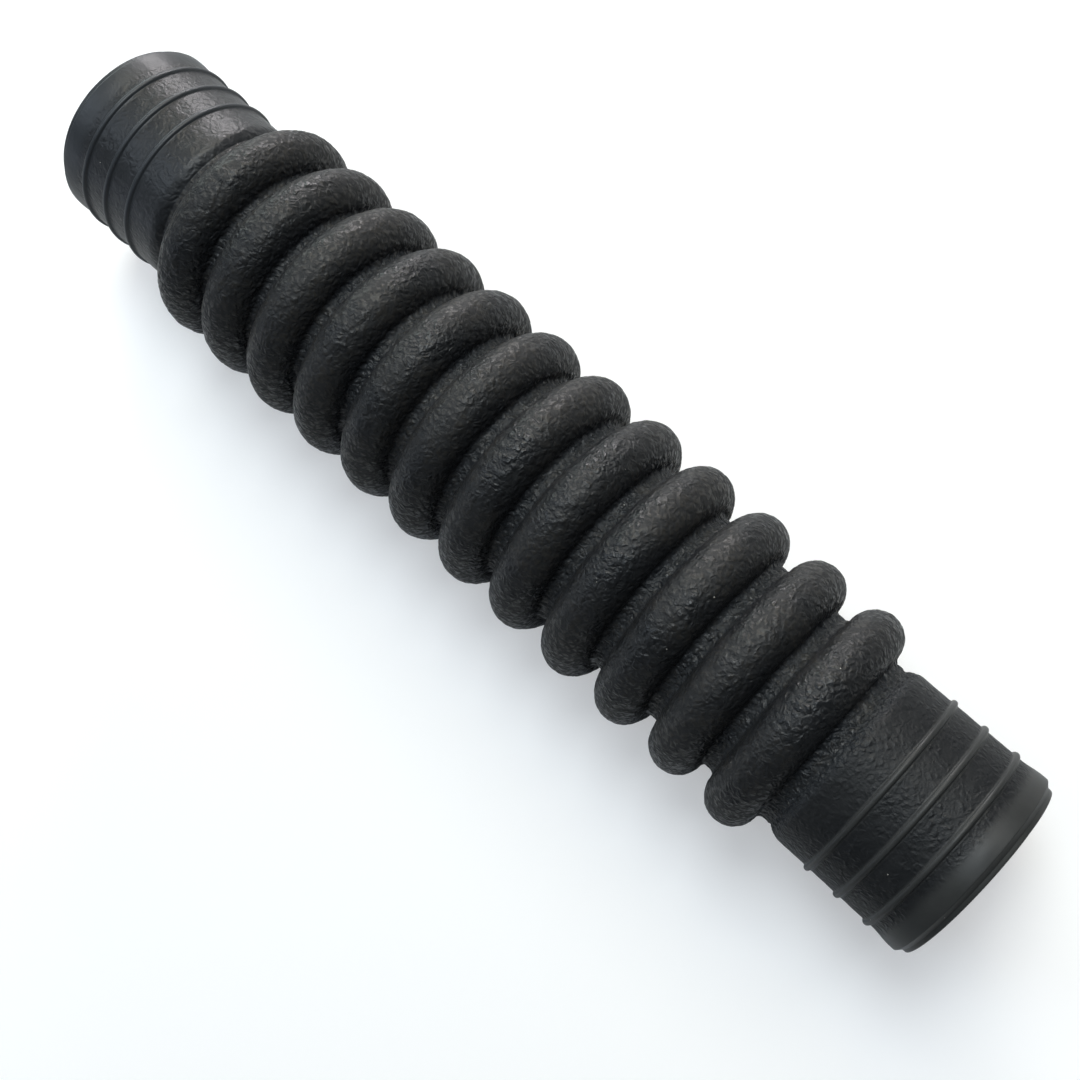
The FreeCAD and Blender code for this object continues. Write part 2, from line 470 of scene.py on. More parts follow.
def rings(x, r, sizes, height):
    """Points on circles about the axis: one row for each x and r, one column for each step round the hose."""
    turn = np.arange(sizes.segments) * 2 * math.pi / sizes.segments
    rows = np.empty((len(x), len(turn), 3))
    rows[..., 0] = x[:, None]
    rows[..., 1] = r[:, None] * np.sin(turn)
    rows[..., 2] = r[:, None] * np.cos(turn) + height
    return rows


def leftwards(x, r):
    """Directions at right angles to a profile, to the left of the way it is walked."""
    along = np.gradient(np.stack([x, r], axis=1), axis=0)
    along /= np.linalg.norm(along, axis=1)[:, None]
    return -along[:, 1], along[:, 0]


def unit(vectors):
    """Vectors of length one."""
    return vectors / np.maximum(np.linalg.norm(vectors, axis=-1), 1e-12)[..., None]


def grid_normals(rows):
    """Outward normal at each point of a grid that closes round the hose."""
    across = np.roll(rows, -1, axis=1) - np.roll(rows, 1, axis=1)
    return unit(np.cross(np.gradient(rows, axis=0), across))


def plain_strip(profile, sizes):
    """A strip with no grain, from a profile. Its normals point to the left of the way it is walked."""
    x, r = np.array(profile).T
    rows = rings(x, r, sizes, sizes.axis_height)
    return Strip(rows, rings(*leftwards(x, r), sizes, 0.0), rows, np.zeros((*rows.shape[:2], 2)))


def wall(before, after, count):
    """A flat or cone-shaped strip from one strip's last row to another's first: the edge of a ply."""
    part = np.linspace(0, 1, count)[:, None, None]
    first, last = before.rows[-1], after.rows[0]
    across = np.roll(first, -1, axis=0) - np.roll(first, 1, axis=0)
    normals = unit(np.cross(last - first, across))
    rows, rest, finish = (
        start[-1] * (1 - part) + end[0] * part
        for start, end in ((before.rows, after.rows), (before.rest, after.rest), (before.finish, after.finish)))
    return Strip(rows, np.broadcast_to(normals, rows.shape), rest, finish)


# Moulded relief

SEEDS = {"waves": 90, "lumps": 30, "valleys": 40, "creases": 60}    # added to the seed of the grain
VALLEY_FADE = (0.3 * MM, 4.0 * MM)      # heights over a valley's bottom where its relief starts to fade, and ends
SHOULDER_FADE = (0.3, 0.9)              # the same along the +X shoulder, in lengths of the shoulder
END_VALLEY_FADE = 1.5                   # it fades this far before the -X cuff, in lengths of the flat end valley
GRAIN_START = (-1.1 * MM, 1.4 * MM)     # the grain grows between these places about the band's inner edge
BAND_GRAIN = 0.3                        # share of grain on the -X band
RING_GRAIN = 0.1                        # share of grain on a thin ring
RING_GRAIN_START = (1.0, 1.5)           # it grows back beside the ring between these half widths
VALLEY_STRETCH = (1.3, 0.7, 0.7)        # the lumps in the valleys are longer round the hose than along it
SMOOTH_WAVES = 0.3                      # share of the slow waves on smooth skin
CUFF_LUMPS = 0.5                        # share of the small lumps on the cuffs


def relief(skin, grain, x, r):
    """Depth of the moulded relief under the smooth skin, in metres. Also fills in the skin's finish."""
    sizes = skin.sizes
    shape = skin.rest.shape[:2]
    places = skin.rest.reshape(-1, 3)

    def bumps(size, title):
        rise = gradient_noise(places / size, grain.seed + SEEDS[title]).reshape(shape)
        return 0.5 + 0.5 * np.clip(rise, -1, 1)

    def lines(scaled, width, bend, title):
        return winding_lines(scaled, width, bend, grain.seed + SEEDS[title]).reshape(shape)

    root = shoulder_root(sizes)
    valley = 1 - eased(r, *(sizes.valley_radius + height for height in VALLEY_FADE))
    valley *= 1 - eased(x, *(root + part * sizes.shoulder for part in SHOULDER_FADE))
    valley *= 1 - eased(-x, root - END_VALLEY_FADE * sizes.end_valley, root)
    from_end = sizes.half_length - np.abs(x)
    share = eased(from_end, *(sizes.band_width + place for place in GRAIN_START))
    share = np.maximum(share, np.where(x < 0, BAND_GRAIN, 0.0))
    for k in range(3):
        off = np.abs(from_end - sizes.first_ring - k * sizes.ring_spacing) / (sizes.ring_width / 2)
        share *= RING_GRAIN + (1 - RING_GRAIN) * eased(off, *RING_GRAIN_START)
    skin.finish[..., 0] = share[:, None]
    skin.finish[..., 1] = valley[:, None]
    bellows = 1 - eased(np.abs(x), root, root + sizes.shoulder)
    soft = share * (CUFF_LUMPS + (1 - CUFF_LUMPS) * bellows)
    waves = bumps(grain.wave_size, "waves") * (SMOOTH_WAVES + (1 - SMOOTH_WAVES) * share[:, None])
    lumps = bumps(grain.lump_size, "lumps") * soft[:, None]
    creases = lines(places / grain.crease_size, 0.28, 0.8, "creases") * (share * bellows)[:, None]
    rough = lines(places * VALLEY_STRETCH / grain.valley_grain, 0.25, 0.6, "valleys") * valley[:, None]
    return (grain.wave_depth * waves + grain.lump_depth * lumps + grain.crease_depth * creases
            + grain.valley_depth * rough)


# Meshes

SHEET_MARGIN = 0.01             # free edge round each sheet of the flat map, as a share of the sheet


def closed_piece(name, strips, sheets):
    """A closed mesh from strips that follow each other round a section, each starting where the last ends."""
    rows, rest, finish, low = (
        np.concatenate([getattr(strip, part)[:-1] for strip in strips])
        for part in ("rows", "rest", "finish", "normals"))
    high = np.concatenate([strip.normals[1:] for strip in strips])
    count, segments = rows.shape[:2]
    across = np.roll(np.arange(segments), -1)
    here = np.arange(count)[:, None] * segments
    after = np.roll(np.arange(count), -1)[:, None] * segments
    corners = np.stack([here + np.arange(segments), after + np.arange(segments), after + across, here + across],
                       axis=2)
    normals = np.stack([low, high, high[:, across], low[:, across]], axis=2)
    mesh = bpy.data.meshes.new(name)
    mesh.vertices.add(count * segments)
    mesh.vertices.foreach_set("co", rows.astype(np.float32).ravel())
    mesh.loops.add(corners.size)
    mesh.loops.foreach_set("vertex_index", corners.astype(np.int32).ravel())
    mesh.polygons.add(count * segments)
    mesh.polygons.foreach_set("loop_start", np.arange(0, corners.size, 4, dtype=np.int32))
    mesh.update(calc_edges=True)
    place = mesh.attributes.new("rest_place", "FLOAT_VECTOR", "POINT")
    place.data.foreach_set("vector", rest.astype(np.float32).ravel())
    for k, title in enumerate(("grain_share", "valley_share")):
        share = mesh.attributes.new(title, "FLOAT", "POINT")
        share.data.foreach_set("value", finish[..., k].astype(np.float32).ravel())
    unroll(mesh, rows, sheets)
    mesh.validate()
    mesh.normals_split_custom_set(normals.reshape(-1, 3))
    piece = bpy.data.objects.new(name, mesh)
    bpy.context.scene.collection.objects.link(piece)
    return piece


def unroll(mesh, rows, sheets):
    """A flat map of the piece, cut round the hose into some sheets that lie one above another."""
    count, segments = rows.shape[:2]
    steps = np.linalg.norm(np.roll(rows, -1, axis=0) - rows, axis=2).mean(axis=1)
    rise = np.concatenate([[0], np.cumsum(steps)])
    rise /= rise[-1]
    low, high = rise[:-1], rise[1:]
    sheet = np.arange(segments) * sheets // segments
    width = np.bincount(sheet)
    start = np.concatenate([[0], np.cumsum(width)[:-1]])
    left = (np.arange(segments) - start[sheet]) / width[sheet]
    right = (np.arange(segments) + 1 - start[sheet]) / width[sheet]
    used = 1 - 2 * SHEET_MARGIN
    flat = np.empty((count, segments, 4, 2))
    flat[..., 0] = SHEET_MARGIN + used * np.stack([left, left, right, right]).T[None]
    up = np.stack([low, high, high, low], axis=1)[:, None, :]
    flat[..., 1] = (sheet[None, :, None] + SHEET_MARGIN + used * up) / sheets
    layer = mesh.uv_layers.new(name="OFBake")
    layer.data.foreach_set("uv", flat.astype(np.float32).ravel())


def ring_piece(name, front, back, edge_points, sheets):
    """A closed piece from a strip, one walked the other way behind it, and the two edges between them."""
    strips = [front, wall(front, back, edge_points), back, wall(back, front, edge_points)]
    return closed_piece(name, strips, sheets)


def finish_piece(piece, material, slot, *nodes):
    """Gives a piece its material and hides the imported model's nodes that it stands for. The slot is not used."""
    piece.data.materials.append(material)
    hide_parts(*nodes)


# Nodes


def feed(tree, node, inputs):
    """Links a socket to each input, or sets its value. Inputs go by number or title."""
    for key, value in inputs.items():
        if isinstance(value, bpy.types.NodeSocket):
            tree.links.new(value, node.inputs[key])
        else:
            node.inputs[key].default_value = value


def add(tree, kind, place, inputs=None, **settings):
    """A node at a place, with its settings by name."""
    node = tree.nodes.new(kind)
    node.location = place
    for key, value in settings.items():
        setattr(node, key, value)
    feed(tree, node, inputs or {})
    return node


def maths(tree, place, operation, *values):
    """Result of a Math node. Each value is a socket or a number."""
    return add(tree, "ShaderNodeMath", place, dict(enumerate(values)), operation=operation).outputs[0]


def divided(tree, place, vector, size):
    """A vector socket divided by one number socket."""
    return add(tree, "ShaderNodeVectorMath", place, {0: vector, 1: size}, operation="DIVIDE").outputs[0]


def ramp(tree, place, value, low, high, start=0.0, end=1.0):
    """A smooth step from start, while the value is under low, to end, when it is over high."""
    inputs = {"Value": value, "From Min": low, "From Max": high, "To Min": start, "To Max": end}
    return add(tree, "ShaderNodeMapRange", place, inputs, interpolation_type="SMOOTHSTEP").outputs[0]


def noise(tree, place, vector, scale, detail, roughness=0.5):
    """Outputs of a Noise Texture node."""
    inputs = {"Vector": vector, "Scale": scale, "Detail": detail, "Roughness": roughness}
    return add(tree, "ShaderNodeTexNoise", place, inputs).outputs


def mixed(tree, place, share, first, second):
    """A mix of two colours, each a socket or three numbers, by the share of the second."""
    first, second = (
        value if isinstance(value, bpy.types.NodeSocket) else (*value, 1.0) for value in (first, second))
    inputs = {"Factor": share, "A": first, "B": second}
    return add(tree, "ShaderNodeMix", place, inputs, data_type="RGBA").outputs["Result"]


def new_group(name, numbers, results):
    """A node group that takes a place and some numbers, each with its default, and the sockets of what it takes."""
    group = bpy.data.node_groups.new(name, "ShaderNodeTree")
    group.interface.new_socket("Place", in_out="INPUT", socket_type="NodeSocketVector")
    for title, default in numbers.items():
        socket = group.interface.new_socket(title, in_out="INPUT", socket_type="NodeSocketFloat")
        socket.default_value = default
    for title in results:
        group.interface.new_socket(title, in_out="OUTPUT", socket_type="NodeSocketFloat")
    return group, add(group, "NodeGroupInput", (-1100, 0)).outputs


def new_material(name):
    """A material, its node tree and its shader."""
    material = bpy.data.materials.new(name)
    material.use_nodes = True
    tree = material.node_tree
    shader = tree.nodes["Principled BSDF"]
    shader.location = (800, 0)
    tree.nodes["Material Output"].location = (1100, 0)
    return material, tree, shader


# Node groups and materials

GRAIN_BEND = 1.6                # how far pebbles and worms are bent from where they would lie, in pebbles
GRAIN_STRONG = (0.38, 0.52)     # the grain is weak where a slow noise is under the first, and strong over the second
WEAK_CREASE = 0.4               # depth of the creases where the grain is weak
CREASE_REACH = 0.45             # a crease slopes up to a pebble's top over this, in pebbles
WORM_REACH = (0.04, 0.16)       # a worm's top and its foot, by how far the noise is from the worm's line
FINE_GRAIN = 0.9                # height of the finest grain, in heights of a pebble
SMALL_FILM = 0.35               # share of small spots in the noise of the film
FILM_START = (0.5, 0.85)        # no film where that noise is under the first, and full film over the second
PIT_SHADE = 3.2                 # painted shade: how much less pale film a low place of the grain gets, for each part that it is rougher
VALLEY_PAINTED_LIGHT = 0.45              # share of painted bluish light in the valleys, which tints them paler
VALLEY_BUMP = 0.8               # the grain is this much deeper in the valleys


def grain_group():
    """Moulded rubber grain: pebbles parted by creases, or worms that wind over the skin, and its low places."""
    group, given = new_group("Rubber grain", {"Size": 0.001, "Worms": 0.0}, ("Height", "Low places"))
    scaled = divided(group, (-900, 0), given["Place"], given["Size"])
    drift = noise(group, (-650, 250), scaled, 0.45, 2.0)["Color"]
    shifted = add(group, "ShaderNodeVectorMath", (-450, 100), {0: drift, 1: (GRAIN_BEND,) * 3, 2: scaled},
                  operation="MULTIPLY_ADD").outputs[0]
    cells = add(group, "ShaderNodeTexVoronoi", (-200, 350), {"Vector": shifted, "Scale": 1.0, "Randomness": 1.0},
                feature="DISTANCE_TO_EDGE").outputs["Distance"]
    lines = noise(group, (-200, 100), shifted, 1.0, 0.5)["Fac"]
    gaps = noise(group, (-200, -150), scaled, 1.0, 1.0)["Fac"]
    fine = noise(group, (-200, -400), scaled, 2.0, 2.0)["Fac"]
    share = ramp(group, (50, -150), gaps, *GRAIN_STRONG)
    crease = maths(group, (250, 350), "MULTIPLY", ramp(group, (50, 350), cells, 0.0, CREASE_REACH, 1.0, 0.0),
                   maths(group, (250, 200), "MULTIPLY_ADD", share, 1 - WEAK_CREASE, WEAK_CREASE))
    pebbles = maths(group, (450, 350), "SUBTRACT", 1.0, crease)
    off = maths(group, (50, 100), "ABSOLUTE", maths(group, (0, 100), "SUBTRACT", lines, 0.5))
    worms = maths(group, (450, 50), "MULTIPLY", ramp(group, (250, 100), off, *WORM_REACH, 1.0, 0.0), share)
    skin = add(group, "ShaderNodeMix", (650, 200), {"Factor": given["Worms"], "A": pebbles, "B": worms},
               data_type="FLOAT").outputs["Result"]
    height = maths(group, (1050, 0), "MULTIPLY_ADD", fine, FINE_GRAIN, skin)
    low = ramp(group, (1050, -200), skin, 0.1, 0.9, 1.0, 0.0)
    add(group, "NodeGroupOutput", (1300, 0), {"Height": height, "Low places": low})
    return group


def film_group():
    """The pale film and handling marks on old rubber: a mask from 0 to 1."""
    group, given = new_group("Rubber film", {"Size": 0.012}, ("Film",))
    scaled = divided(group, (-700, 0), given["Place"], given["Size"])
    broad = noise(group, (-450, 150), scaled, 1.0, 3.0, 0.55)["Fac"]
    small = noise(group, (-450, -150), scaled, 9.0, 4.0, 0.7)["Fac"]
    both = maths(group, (-200, 0), "MULTIPLY_ADD", small, SMALL_FILM, broad)
    add(group, "NodeGroupOutput", (700, 0), {"Film": ramp(group, (200, 0), both, *FILM_START)})
    return group


def dust_group():
    """Sparse specks of dust: a mask from 0 to 1."""
    group, given = new_group("Dust specks", {"Spacing": 0.0045, "Speck": 0.035}, ("Dust",))
    scaled = divided(group, (-700, 0), given["Place"], given["Spacing"])
    cells = add(group, "ShaderNodeTexVoronoi", (-450, 100), {"Vector": scaled, "Scale": 1.0}).outputs
    tone = add(group, "ShaderNodeSeparateColor", (-250, -100), {0: cells["Color"]}).outputs[0]
    reach = maths(group, (-50, -100), "MULTIPLY", given["Speck"], tone)
    specks = maths(group, (150, 100), "LESS_THAN", cells["Distance"], reach)
    add(group, "NodeGroupOutput", (700, 0), {"Dust": specks})
    return group


def rubber_material(name, colours, groups, base, finish):
    """Black moulded rubber with grain, a thin pale film and a few specks of dust, with painted shade in the grain's
    low places, painted sheen on smooth skin and painted bluish light in the valleys.
    """
    _, tree, shader = new_material(name)
    place, share, valley = (
        add(tree, "ShaderNodeAttribute", (-1100, y), attribute_name=title).outputs[output]
        for y, title, output in ((0, "rest_place", "Vector"), (-500, "grain_share", "Fac"),
                                 (-700, "valley_share", "Fac")))
    inputs = {"Place": place, "Size": finish["size"], "Worms": finish["worms"]}
    grain = add(tree, "ShaderNodeGroup", (-800, 200), inputs, node_tree=groups["grain"]).outputs
    worn = add(tree, "ShaderNodeGroup", (-800, 0), {"Place": place}, node_tree=groups["film"]).outputs["Film"]
    specks = add(tree, "ShaderNodeGroup", (-800, -200), {"Place": place}, node_tree=groups["dust"]).outputs["Dust"]
    low = maths(tree, (-500, -350), "MULTIPLY", grain["Low places"], share)
    smooth = maths(tree, (-500, -250), "SUBTRACT", 1.0, share)

    # Painted shade: low places of the grain lose pale film, so the creases are darker.
    film = maths(tree, (-300, 0), "MULTIPLY", maths(tree, (-500, 0), "MULTIPLY", worn, finish["film"]),
                 maths(tree, (-400, -150), "MULTIPLY_ADD", low, -PIT_SHADE * finish["pit_rough_and_shade"], 1.0))
    # Painted sheen: smooth skin gets extra pale film; on the cuffs' rings and end bands it stands in for their
    # highlights.
    film = maths(tree, (-150, 0), "MULTIPLY_ADD", smooth, finish["smooth_film_and_sheen"], film)
    # Painted light: the valleys are tinted paler and bluish, standing in for their lit floors.
    colour = mixed(tree, (-150, 350), maths(tree, (-300, 300), "MULTIPLY", valley, VALLEY_PAINTED_LIGHT), base,
                   colours.cool_film_and_painted_light)
    colour = mixed(tree, (0, 200), film, colour, finish["bloom"])
    colour = mixed(tree, (300, 150), maths(tree, (100, -200), "MULTIPLY", specks, finish["dust"]), colour,
                   colours.dust)

    spread = 0.5 * finish["patchy"]
    rough = ramp(tree, (300, -100), worn, 0.0, 1.0, finish["rough"] - spread, finish["rough"] + spread)
    rough = maths(tree, (500, -150), "MULTIPLY_ADD", low, finish["pit_rough_and_shade"], rough)
    rough = maths(tree, (600, -250), "MULTIPLY_ADD", smooth, -finish["polish"], rough)

    calm = maths(tree, (-500, -450), "MULTIPLY_ADD", worn, -finish["calm"], 1.0 + finish["calm"] / 3)
    height = maths(tree, (-300, -500), "MULTIPLY", maths(tree, (-400, -400), "MULTIPLY", grain["Height"], calm),
                   maths(tree, (-500, -600), "MULTIPLY_ADD", valley, VALLEY_BUMP, share))
    bump = add(tree, "ShaderNodeBump", (500, -400), {"Strength": 1.0, "Distance": finish["bump"], "Height": height})
    feed(tree, shader, {"Base Color": colour, "Metallic": 0.0, "Roughness": rough, "IOR": 1.5,
                        "Specular IOR Level": finish["specular"], "Normal": bump.outputs[0]})


def steel_material(colours):
    """Drawn spring steel, whose roughness varies from 0.22 to 0.42."""
    _, tree, shader = new_material("Spring steel")
    place = add(tree, "ShaderNodeTexCoord", (-900, 0)).outputs["Object"]
    rough = ramp(tree, (-300, 0), noise(tree, (-600, 0), place, 900.0, 4.0)["Fac"], 0.3, 0.7, 0.22, 0.42)
    feed(tree, shader, {"Base Color": (*colours.steel, 1.0), "Metallic": 1.0, "Roughness": rough})


def materials(context):
    """The materials by name, made once.

    A rubber finish says the size and depth of its grain in metres, its share of winding grain (worms), its gloss
    (specular, rough), the colour of its film and painted sheen (bloom), how much film lies on grained skin (film) and
    how much film and painted sheen on smooth skin (smooth_film_and_sheen), and its share of dust. It also says how
    much rougher low places are and how much painted shade darkens them (pit_rough_and_shade), how far the roughness
    varies (patchy), how much less rough smooth skin is (polish), and how far worn places lose their grain (calm).
    """
    if "Bellows rubber" not in bpy.data.materials:
        colours, grain = context.scene.hose_colours, context.scene.hose_grain
        groups = {"grain": grain_group(), "film": film_group(), "dust": dust_group()}
        plain = dict(worms=0.0, specular=0.26, bloom=colours.bloom, film=0.48, smooth_film_and_sheen=0.3, dust=1.0, pit_rough_and_shade=0.25,
                     patchy=0.12, polish=0.08, calm=0.6)
        # Painted sheen: the cuffs put much pale film on their smooth rings and end bands, bluish on the -X cuff.
        fine = dict(size=grain.fine_size, bump=grain.fine_bump, rough=0.42, specular=0.31, bloom=colours.cool_film_and_painted_light,
                    film=0.2, smooth_film_and_sheen=0.85, pit_rough_and_shade=0.02, patchy=0.0, polish=0.0, calm=0.1)
        coarse = dict(size=grain.coarse_size, bump=grain.coarse_bump, worms=0.3, rough=0.41, specular=0.18,
                      bloom=colours.cuff_film_and_sheen, film=0.2, smooth_film_and_sheen=0.75, pit_rough_and_shade=0.1, patchy=0.05, polish=0.04,
                      calm=0.3)
        for name, base, finish in (
                ("Bellows rubber", colours.rubber, dict(size=grain.crest_size, bump=grain.crest_bump, rough=0.335)),
                ("Fine cuff rubber", colours.rubber, fine),
                ("Coarse cuff rubber", colours.rubber, coarse),
                ("Tube rubber", colours.tube,
                 dict(size=grain.fine_size, bump=grain.tube_bump, rough=0.38, dust=0.3, bloom=colours.cuff_film_and_sheen,
                      film=0.2))):
            rubber_material(name, colours, groups, base, {**plain, **finish})
        steel_material(colours)
    return bpy.data.materials


# Pieces

KEPT = {}                       # the outside and inside grids, while the pieces are built
GROOVE_STEPS = 6                # of the half round groove for a wire hoop


def skins(context):
    """The outside and inside grids, made once."""
    if not KEPT:
        sizes, grain = context.scene.hose_sizes, context.scene.hose_grain
        KEPT["outside"] = Skin(sizes, grain, inner=False)
        KEPT["inside"] = Skin(sizes, grain, inner=True)
    return KEPT["outside"], KEPT["inside"]


def body_names():
    """The stiff bodies and the valley bodies, each in order from the -X end to the +X end."""
    stiff = ["cuff_a"] + [name.replace("crest_cover", "crest") for name in CRESTS] + ["cuff_b"]
    valleys = [f"valley_{k:02d}" for k in range(len(CRESTS) + 1)]
    return stiff, valleys


class HOSE_OT_crests(bpy.types.Operator):
    """Builds the outer and inner ply of every crest"""

    bl_idname = "hose.crests"
    bl_label = "Crests"

    def execute(self, context):
        sizes = context.scene.hose_sizes
        outside, inside = skins(context)
        ply_line = sizes.crest_round - sizes.cover_ply
        for k, place in enumerate(crest_places(sizes)):
            centre = (place, sizes.crest_radius - sizes.crest_round)
            outer = outside.between(f"left_{k}", f"right_{k}")
            bond = plain_strip(grooved(sizes, centre, ply_line + sizes.bond / 2, 1), sizes)
            cover = ring_piece(f"crest_{k + 1:02d}_cover", outer, bond, edge_points=2, sheets=2)
            finish_piece(cover, materials(context)["Bellows rubber"], "cover_rubber", f"crest_cover_{k + 1:02d}")
            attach(cover, f"crest_{k + 1:02d}")
            bond = plain_strip(grooved(sizes, centre, ply_line - sizes.bond / 2, -1)[::-1], sizes)
            hollow = inside.between(f"left_{k}", f"right_{k}").backwards()
            tube = ring_piece(f"crest_{k + 1:02d}_tube", bond, hollow, edge_points=2, sheets=3)
            finish_piece(tube, materials(context)["Tube rubber"], "tube_rubber", f"crest_tube_{k + 1:02d}")
            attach(tube, f"crest_{k + 1:02d}")
        return {"FINISHED"}


def grooved(sizes, centre, radius, side):
    """A bond line from +crest_angle to -crest_angle with the wire's groove at its top."""
    points = []
    groove = sizes.wire / 2 + sizes.bond
    half = math.asin(groove / radius)
    step = sizes.hidden_row_length * 1.5
    middle = (centre[0], centre[1] + (sizes.crest_round - sizes.cover_ply))
    bow(points, centre, radius, sizes.crest_angle, half, step)
    for j in range(1, GROOVE_STEPS):
        turn = math.pi * j / GROOVE_STEPS
        join(points, (middle[0] + groove * math.cos(turn), middle[1] + side * groove * math.sin(turn)))
    bow(points, centre, radius, -half, -sizes.crest_angle, step)
    return points


class HOSE_OT_webs(bpy.types.Operator):
    """Builds the two halves of every valley's web, between stiffer pieces"""

    bl_idname = "hose.webs"
    bl_label = "Valley webs"

    def execute(self, context):
        sizes = context.scene.hose_sizes
        outside, inside = skins(context)
        stiff, valleys = body_names()
        for k, place in enumerate(web_cuts(sizes)):
            before = f"right_{k - 1}" if k else "root_a"
            after = f"left_{k}" if k < len(valleys) - 1 else "root_b"
            low, high = (outside.rows[outside.marks[name]][0][0] for name in (before, after))
            for letter, first, last, bodies, reach in (
                    ("a", before, f"cut_{k}", (stiff[k], valleys[k]), (low, place)),
                    ("b", f"cut_{k}", after, (valleys[k], stiff[k + 1]), (place, high))):
                outer = outside.between(first, last)
                hollow = inside.between(first, last).backwards()
                web = ring_piece(f"valley_{k:02d}_web_{letter}", outer, hollow, edge_points=3, sheets=3)
                finish_piece(web, materials(context)["Bellows rubber"], "cover_rubber", f"valley_web_{k:02d}")
                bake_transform(web)
        return {"FINISHED"}


class HOSE_OT_cuffs(bpy.types.Operator):
    """Builds the outer and inner ply of both cuffs"""

    bl_idname = "hose.cuffs"
    bl_label = "Cuffs"

    def execute(self, context):
        sizes = context.scene.hose_sizes
        outside, _ = skins(context)
        ply = sizes.bore_radius + sizes.cuff_tube_ply
        step = sizes.hidden_row_length * 2
        for letter, first, last, skin in (("a", "start", "root_a", "Fine cuff rubber"),
                                          ("b", "root_b", "finish", "Coarse cuff rubber")):
            line = []
            run(line, (sizes.half_length, ply + sizes.bond / 2), (shoulder_root(sizes), ply + sizes.bond / 2), step)
            section = tube_section(sizes, step)
            if letter == "a":
                line = turned_over(line)
                section = [turned_over(part) for part in reversed(section)]
            outer = outside.between(first, last)
            cover = ring_piece(f"cuff_{letter}_cover", outer, plain_strip(line, sizes), edge_points=4, sheets=1)
            finish_piece(cover, materials(context)[skin], "cover_rubber", f"cuff_cover_{letter}")
            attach(cover, f"cuff_{letter}")
            tube = closed_piece(f"cuff_{letter}_tube", [plain_strip(part, sizes) for part in section], 1)
            finish_piece(tube, materials(context)["Tube rubber"], "tube_rubber", f"cuff_tube_{letter}")
            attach(tube, f"cuff_{letter}")
        return {"FINISHED"}


def tube_section(sizes, step):
    """Section of the +X cuff's inner ply as runs that meet at its sharp edges."""
    ply = sizes.bore_radius + sizes.cuff_tube_ply - sizes.bond / 2
    end, root, edge = sizes.half_length, shoulder_root(sizes), sizes.bore_edge
    outer, face, bore, back = [], [], [], []
    run(outer, (root, ply), (end, ply), step)
    run(face, (end, ply), (end, sizes.bore_radius + edge), step)
    bow(bore, (end - edge, sizes.bore_radius + edge), edge, math.pi / 2, math.pi, edge / 4)
    run(bore, bore[-1], (root, sizes.bore_radius), step)
    run(back, (root, sizes.bore_radius), (root, ply), step)
    return [outer, face, bore, back]


class HOSE_OT_hoops(bpy.types.Operator):
    """Gives the spring-steel hoops inside the crests their finish"""

    bl_idname = "hose.hoops"
    bl_label = "Wire hoops"

    def execute(self, context):
        steel = materials(context)["Spring steel"]
        for name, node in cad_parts.items():
            if name.startswith("wire_hoop_"):
                node.data.materials.clear()
                node.data.materials.append(steel)
        return {"FINISHED"}


# Stage, in metres and degrees

BACKDROP = ((5.0, -0.0002), (5.6, 0.06), (6.2, 0.35), (6.6, 0.9), (6.7, 4.0))    # distance from the middle, height
BACKDROP_SIDES = 64
FLOOR_PAINTED_GLOW = (0.2, 1.3, 0.35, 0.9)      # painted light: from the first distance to the second, the floor's glow for camera rays goes from 0.35 to 0.9
SKY_COLOUR = (0.80, 0.86, 1.0, 1.0)
SKY_STRENGTH = 0.02
SOFTBOX_DISTANCE = 1.0
SOFTBOXES = (                           # name, turn from +X, height over the floor, size, watts, colour
    ("Top softbox", 0, 88, (0.45, 0.45), 1.92, (0.80, 0.91, 1.0)),
    ("Key softbox", 120, 68, (0.4, 0.4), 6.45, (0.90, 0.97, 1.0)),
    ("Side fill", 80, 48, (0.45, 0.4), 1.65, (0.94, 0.97, 1.0)),
    ("Warm softbox", 120, 48, (0.45, 0.4), 2.59, (1.0, 0.89, 0.62)),
    ("Cool fill", 200, 48, (0.45, 0.4), 2.29, (0.75, 0.86, 1.0)),
    ("Low strip", 128, 11, (0.35, 0.18), 6.6, (1.0, 0.96, 0.98)),
    ("Second strip", 162, 10, (0.55, 0.25), 2.75, (0.88, 1.0, 0.97)),
    ("Low fill", 234, 10, (0.55, 0.25), 0.9, (0.78, 0.86, 1.0)))
CAMERA_YAW, CAMERA_PITCH, CAMERA_ROLL = 0.25633, 0.03056, 0.72263       # radians
CAMERA_X, CAMERA_OVER_AXIS = 0.09251, 0.28719
FOCAL_LENGTH, PICTURE_WIDTH = 1342.4, 1080                              # pixels
SENSOR_WIDTH = 36.0                                                     # millimetres


def area_light(name, place, target, size, power, colour):
    """A rectangular lamp that faces a target."""
    lamp = bpy.data.lights.new(name, "AREA")
    lamp.shape = "RECTANGLE"
    lamp.size, lamp.size_y = size
    lamp.energy = power
    lamp.color = colour
    light = bpy.data.objects.new(name, lamp)
    light.location = place
    light.rotation_euler = (Vector(target) - Vector(place)).to_track_quat("-Z", "Y").to_euler()
    bpy.context.scene.collection.objects.link(light)


def backdrop_mesh():
    """A round floor that sweeps up into a wall all round."""
    count = BACKDROP_SIDES
    turn = np.arange(count) * 2 * math.pi / count
    rows = [np.stack([reach * np.cos(turn), reach * np.sin(turn), np.full(count, height)], axis=1)
            for reach, height in BACKDROP]
    vertices = np.concatenate([[(0.0, 0.0, BACKDROP[0][1])], *rows])
    faces = [(0, 1 + k, 1 + (k + 1) % count) for k in range(count)]
    for row in range(len(BACKDROP) - 1):
        low, high = 1 + row * count, 1 + (row + 1) * count
        faces += [(low + k, high + k, high + (k + 1) % count, low + (k + 1) % count) for k in range(count)]
    mesh = bpy.data.meshes.new("Floor")
    mesh.from_pydata(vertices.tolist(), [], faces)
    mesh.shade_smooth()
    return mesh


